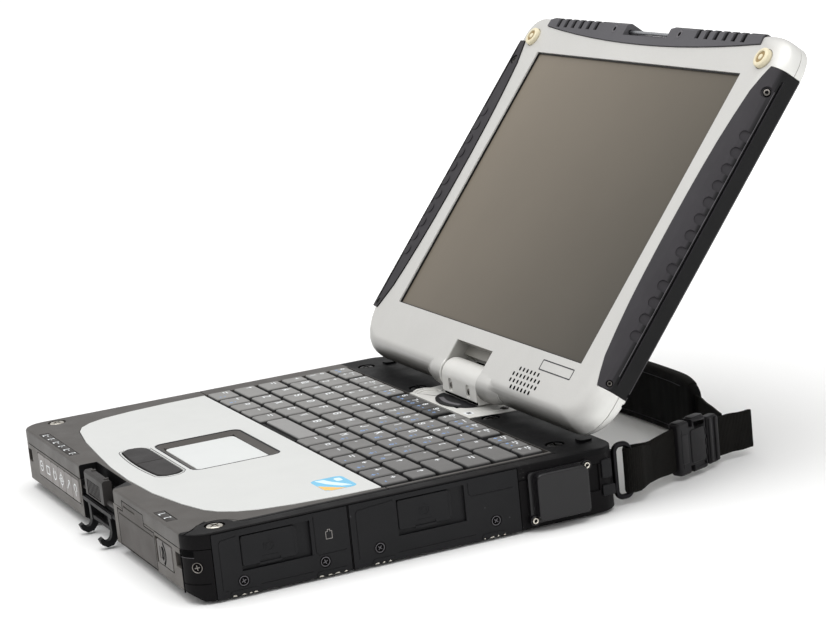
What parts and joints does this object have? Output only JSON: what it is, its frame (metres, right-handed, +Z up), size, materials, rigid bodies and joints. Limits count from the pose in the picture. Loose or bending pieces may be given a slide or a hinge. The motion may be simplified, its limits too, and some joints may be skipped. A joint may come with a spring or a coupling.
{
  "type": "convertible laptop computer",
  "caption": "Rugged convertible laptop: swivelling, tilting touch display with corner bumpers on a thick base with keyboard, touchpad, side doors, front latch and carrying strap.",
  "frame": {"origin": "centre of the base's footprint, on the desk under the middle rib of the rubber skid", "axes": "+X to the user's right, +Y away from the user towards the display hinge, +Z up; rest pose has the display open at about 128 degrees"},
  "size_m": [0.277, 0.346, 0.21],
  "materials": {
    "case_dark": "satin, dark grey painted magnesium",
    "palm_light": "satin, light silver-grey paint",
    "hinge_silver": "satin, bead-blasted",
    "lid_silver": "satin, silver metallic paint with fine grain",
    "bare_aluminium": "matte",
    "bare_steel": "satin",
    "black_steel": "satin, black coated steel",
    "black_plastic": "fine moulded grain",
    "gloss_black": "glossy",
    "door_black": "satin, worn at the lower edge",
    "front_grey": "satin",
    "button_dark": "fine moulded grain",
    "button_light": "fine moulded grain",
    "key_grey": "fine moulded grain",
    "screen_film": "semi-gloss coated film",
    "grip_grey": "matte rubber",
    "rail_black": "fine moulded grain",
    "black_rubber": "matte",
    "bumper_cream": "matte, slightly translucent",
    "circuit_green": "satin",
    "webbing": "ribbed nylon weave",
    "buckle_plastic": "fine moulded grain"
  },
  "bodies": {
    "base": {"bottom_case": "case_dark", "top_case": "case_dark", "palm_plate": "palm_light", "touchpad": "palm_light", "hinge_plate": "hinge_silver", "keyboard_tray": "black_plastic", "mainboard": "circuit_green", "wireless_card": "circuit_green", "memory_module": "circuit_green", "heat_spreader": "bare_aluminium", "battery_pack": "black_plastic", "hard_drive": "bare_aluminium", "module_cover": "black_plastic", "rubber_skid": "black_rubber", "strap_ring_right": "black_steel", "strap_ring_left": "black_steel", "strap_webbing_right": "webbing", "strap_webbing_left": "webbing", "strap_buckle": "buckle_plastic", "strap_adjuster": "buckle_plastic", "strap_pad": "webbing"},
    "swivel": {"swivel_bracket": "hinge_silver"},
    "display": {"display_bezel": "lid_silver", "display_rear_cover": "lid_silver", "touch_glass": "screen_film", "lcd_panel": "black_plastic", "speaker": "black_plastic", "top_grip": "grip_grey", "latch_rod": "bare_steel", "rail_right": "rail_black", "rail_left": "rail_black", "hinge_shaft": "bare_steel", "lid_bumper_left": "bumper_cream", "lid_bumper_right": "bumper_cream"},
    "swivel_lock": {"swivel_lock": "gloss_black"},
    "latch_lever": {"latch_lever": "black_plastic"},
    "latch_hook": {"latch_hook": "black_steel"},
    "touchpad_button_left": {"touchpad_button_left": "button_dark"},
    "touchpad_button_right": {"touchpad_button_right": "button_dark"},
    "key_row_function": {"key_row_function": "key_grey"},
    "key_row_number": {"key_row_number": "key_grey"},
    "key_row_top": {"key_row_top": "key_grey"},
    "key_row_home": {"key_row_home": "key_grey"},
    "key_row_lower": {"key_row_lower": "key_grey"},
    "key_row_bottom": {"key_row_bottom": "key_grey"},
    "space_bar": {"space_bar": "key_grey"},
    "battery_door": {"battery_door": "door_black"},
    "battery_door_latch": {"battery_door_latch": "black_plastic"},
    "drive_door": {"drive_door": "door_black"},
    "drive_door_latch": {"drive_door_latch": "black_plastic"},
    "front_slot_cover": {"front_slot_cover": "front_grey"},
    "left_port_cover": {"left_port_cover": "black_rubber"},
    "rear_port_cover": {"rear_port_cover": "black_rubber"},
    "wireless_switch": {"wireless_switch": "button_light"},
    "tablet_button_1": {"tablet_button_1": "button_light"},
    "tablet_button_2": {"tablet_button_2": "button_light"},
    "tablet_button_3": {"tablet_button_3": "button_light"},
    "tablet_button_4": {"tablet_button_4": "button_light"},
    "tablet_button_5": {"tablet_button_5": "button_light"},
    "tablet_button_6": {"tablet_button_6": "button_light"}
  },
  "joints": [
    {"name": "swivel_turn", "type": "hinge", "parent": "base", "child": "swivel", "pos_m": [0, 0.0975, 0.033], "axis": [0, 0, 1], "range_deg": [0, 180]},
    {"name": "display_tilt", "type": "hinge", "parent": "swivel", "child": "display", "pos_m": [0, 0.0975, 0.043], "axis": [-1, 0, 0], "range_deg": [-128.27, 51.73]},
    {"name": "swivel_lock_slide", "type": "slide", "parent": "base", "child": "swivel_lock", "axis": [1, 0, 0], "range_m": [0, 0.004]},
    {"name": "latch_lever_pull", "type": "hinge", "parent": "base", "child": "latch_lever", "pos_m": [0, -0.1058, 0.021], "axis": [1, 0, 0], "range_deg": [0, 35]},
    {"name": "latch_hook_swing", "type": "hinge", "parent": "base", "child": "latch_hook", "pos_m": [0, -0.1065, 0.016], "axis": [-1, 0, 0], "range_deg": [0, 100]},
    {"name": "touchpad_left_press", "type": "slide", "parent": "base", "child": "touchpad_button_left", "axis": [0, 0, -1], "range_m": [0, 0.0008], "stiffness_N_per_m": 400, "springref_m": -0.0005},
    {"name": "touchpad_right_press", "type": "slide", "parent": "base", "child": "touchpad_button_right", "axis": [0, 0, -1], "range_m": [0, 0.0008], "stiffness_N_per_m": 400, "springref_m": -0.0005},
    {"name": "key_row_function_press", "type": "slide", "parent": "base", "child": "key_row_function", "axis": [0, 0, -1], "range_m": [0, 0.0018], "stiffness_N_per_m": 400, "springref_m": -0.0008},
    {"name": "key_row_number_press", "type": "slide", "parent": "base", "child": "key_row_number", "axis": [0, 0, -1], "range_m": [0, 0.0018], "stiffness_N_per_m": 400, "springref_m": -0.0008},
    {"name": "key_row_top_press", "type": "slide", "parent": "base", "child": "key_row_top", "axis": [0, 0, -1], "range_m": [0, 0.0018], "stiffness_N_per_m": 400, "springref_m": -0.0008},
    {"name": "key_row_home_press", "type": "slide", "parent": "base", "child": "key_row_home", "axis": [0, 0, -1], "range_m": [0, 0.0018], "stiffness_N_per_m": 400, "springref_m": -0.0008},
    {"name": "key_row_lower_press", "type": "slide", "parent": "base", "child": "key_row_lower", "axis": [0, 0, -1], "range_m": [0, 0.0018], "stiffness_N_per_m": 400, "springref_m": -0.0008},
    {"name": "key_row_bottom_press", "type": "slide", "parent": "base", "child": "key_row_bottom", "axis": [0, 0, -1], "range_m": [0, 0.0018], "stiffness_N_per_m": 400, "springref_m": -0.0008},
    {"name": "space_bar_press", "type": "slide", "parent": "base", "child": "space_bar", "axis": [0, 0, -1], "range_m": [0, 0.0018], "stiffness_N_per_m": 400, "springref_m": -0.0005},
    {"name": "battery_door_open", "type": "hinge", "parent": "base", "child": "battery_door", "pos_m": [0.1342, -0.064, 0.0023], "axis": [0, 1, 0], "range_deg": [0, 95]},
    {"name": "battery_latch_slide", "type": "slide", "parent": "battery_door", "child": "battery_door_latch", "axis": [0, 1, 0], "range_m": [0, 0.006]},
    {"name": "drive_door_open", "type": "hinge", "parent": "base", "child": "drive_door", "pos_m": [0.1342, 0.012, 0.0023], "axis": [0, 1, 0], "range_deg": [0, 95]},
    {"name": "drive_latch_slide", "type": "slide", "parent": "drive_door", "child": "drive_door_latch", "axis": [0, 1, 0], "range_m": [0, 0.006]},
    {"name": "front_slot_open", "type": "hinge", "parent": "base", "child": "front_slot_cover", "pos_m": [0.0605, -0.107, 0.0074], "axis": [1, 0, 0], "range_deg": [0, 90]},
    {"name": "left_port_open", "type": "hinge", "parent": "base", "child": "left_port_cover", "pos_m": [-0.1344, 0.011, 0.0063], "axis": [0, -1, 0], "range_deg": [0, 95]},
    {"name": "rear_port_open", "type": "hinge", "parent": "base", "child": "rear_port_cover", "pos_m": [-0.005, 0.1069, 0.0063], "axis": [-1, 0, 0], "range_deg": [0, 95]},
    {"name": "wireless_switch_slide", "type": "slide", "parent": "base", "child": "wireless_switch", "axis": [-1, 0, 0], "range_m": [0, 0.0025]},
    {"name": "tablet_1_press", "type": "slide", "parent": "base", "child": "tablet_button_1", "axis": [0, 1, 0], "range_m": [0, 0.0008], "stiffness_N_per_m": 400, "springref_m": -0.0005},
    {"name": "tablet_2_press", "type": "slide", "parent": "base", "child": "tablet_button_2", "axis": [0, 1, 0], "range_m": [0, 0.0008], "stiffness_N_per_m": 400, "springref_m": -0.0005},
    {"name": "tablet_3_press", "type": "slide", "parent": "base", "child": "tablet_button_3", "axis": [0, 1, 0], "range_m": [0, 0.0008], "stiffness_N_per_m": 400, "springref_m": -0.0005},
    {"name": "tablet_4_press", "type": "slide", "parent": "base", "child": "tablet_button_4", "axis": [0, 1, 0], "range_m": [0, 0.0008], "stiffness_N_per_m": 400, "springref_m": -0.0005},
    {"name": "tablet_5_press", "type": "slide", "parent": "base", "child": "tablet_button_5", "axis": [0, 1, 0], "range_m": [0, 0.0008], "stiffness_N_per_m": 400, "springref_m": -0.0005},
    {"name": "tablet_6_press", "type": "slide", "parent": "base", "child": "tablet_button_6", "axis": [0, 1, 0], "range_m": [0, 0.0008], "stiffness_N_per_m": 400, "springref_m": -0.0005}
  ]
}
